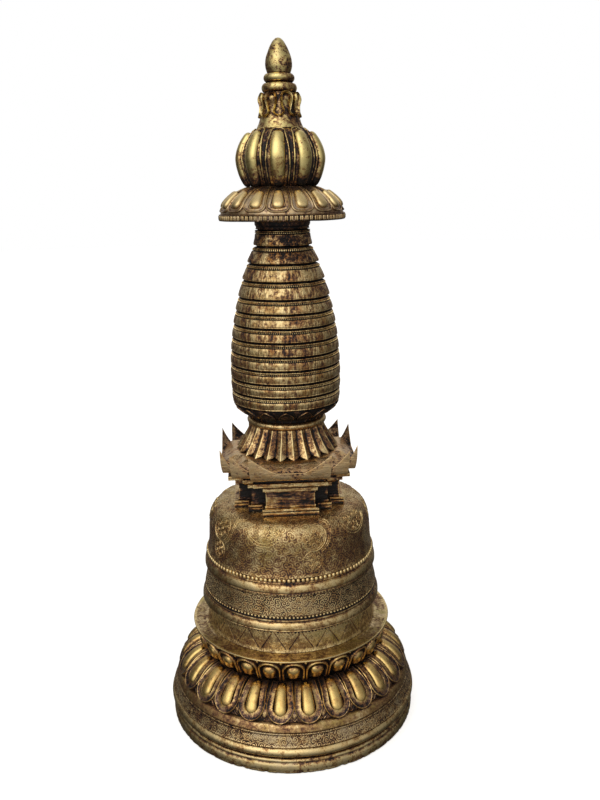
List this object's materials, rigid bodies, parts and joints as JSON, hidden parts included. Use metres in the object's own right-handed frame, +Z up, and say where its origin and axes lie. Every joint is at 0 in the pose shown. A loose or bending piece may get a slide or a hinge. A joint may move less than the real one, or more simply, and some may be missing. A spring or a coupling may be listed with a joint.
{
  "type": "stupa statuette",
  "caption": "Tabletop stupa of worn gilt copper alloy: lotus base, beaded drum, domed body, stepped block and horned crown, ringed spire, petalled parasol, lobed melon and bud finial.",
  "frame": {"origin": "centre of the foot ring's underside, on the surface that the stupa stands on", "axes": "+Z up along the axis from the foot to the bud; the side that faces the picture's camera is -Y, with the stepped harmika turned 3 degrees on that axis"},
  "size_m": [0.2902, 0.2902, 0.75],
  "materials": {
    "foot_gilt": "worn gilding on copper, olive gold, satin, brown in the hollows",
    "ring_gilt": "worn gilding, bright gold with purple-brown patches, satin",
    "chased_bronze": "chased copper alloy, orange-brown, satin, dark in the cuts",
    "petal_gilt": "worn gilding, bright on the bosses and nearly black between them",
    "olive_bronze": "chased copper alloy, olive brown, satin, light gold in the lines",
    "harmika_bronze": "copper alloy, brown with orange-gold edges, satin",
    "skirt_gilt": "worn gilding, gold-brown, satin",
    "spire_bronze": "chiselled copper alloy, brown with patches of gold, satin",
    "dark_bronze": "dark brown copper alloy, matt",
    "parasol_gilt": "worn gilding, gold on the raised work, dark between",
    "finial_gilt": "worn gilding, gold on the raised work, nearly black in the hollows",
    "plate_copper": "plain sheet copper, dull"
  },
  "bodies": {
    "root": {"foot_ring": "foot_gilt", "lotus_ledge": "foot_gilt", "drum_rim": "foot_gilt", "base_torus": "ring_gilt", "drum_torus": "ring_gilt", "dome_torus": "ring_gilt", "dome_bead_course": "ring_gilt", "lower_scroll_band": "chased_bronze", "drum_scroll_band": "chased_bronze", "drum_bead_course": "chased_bronze", "lower_lotus": "petal_gilt", "upper_lotus": "petal_gilt", "zigzag_drum": "olive_bronze", "dome": "olive_bronze", "harmika_plinth": "harmika_bronze", "harmika_block": "harmika_bronze", "harmika_cornice": "harmika_bronze", "harmika_crown": "harmika_bronze", "pleated_skirt": "skirt_gilt", "spire_base_ring": "skirt_gilt", "spire_ring_01": "spire_bronze", "spire_ring_02": "spire_bronze", "spire_ring_03": "spire_bronze", "spire_ring_04": "spire_bronze", "spire_ring_05": "spire_bronze", "spire_ring_06": "spire_bronze", "spire_ring_07": "spire_bronze", "spire_ring_08": "spire_bronze", "spire_ring_09": "spire_bronze", "spire_ring_10": "spire_bronze", "spire_ring_11": "spire_bronze", "spire_ring_12": "spire_bronze", "spire_calyx": "dark_bronze", "spire_collar": "dark_bronze", "parasol": "parasol_gilt", "parasol_bead_rim": "parasol_gilt", "melon_finial": "finial_gilt", "leaf_neck": "finial_gilt", "finial_ring_lower": "finial_gilt", "finial_ring_upper": "finial_gilt", "bud": "finial_gilt", "base_plate": "plate_copper"}
  },
  "joints": []
}
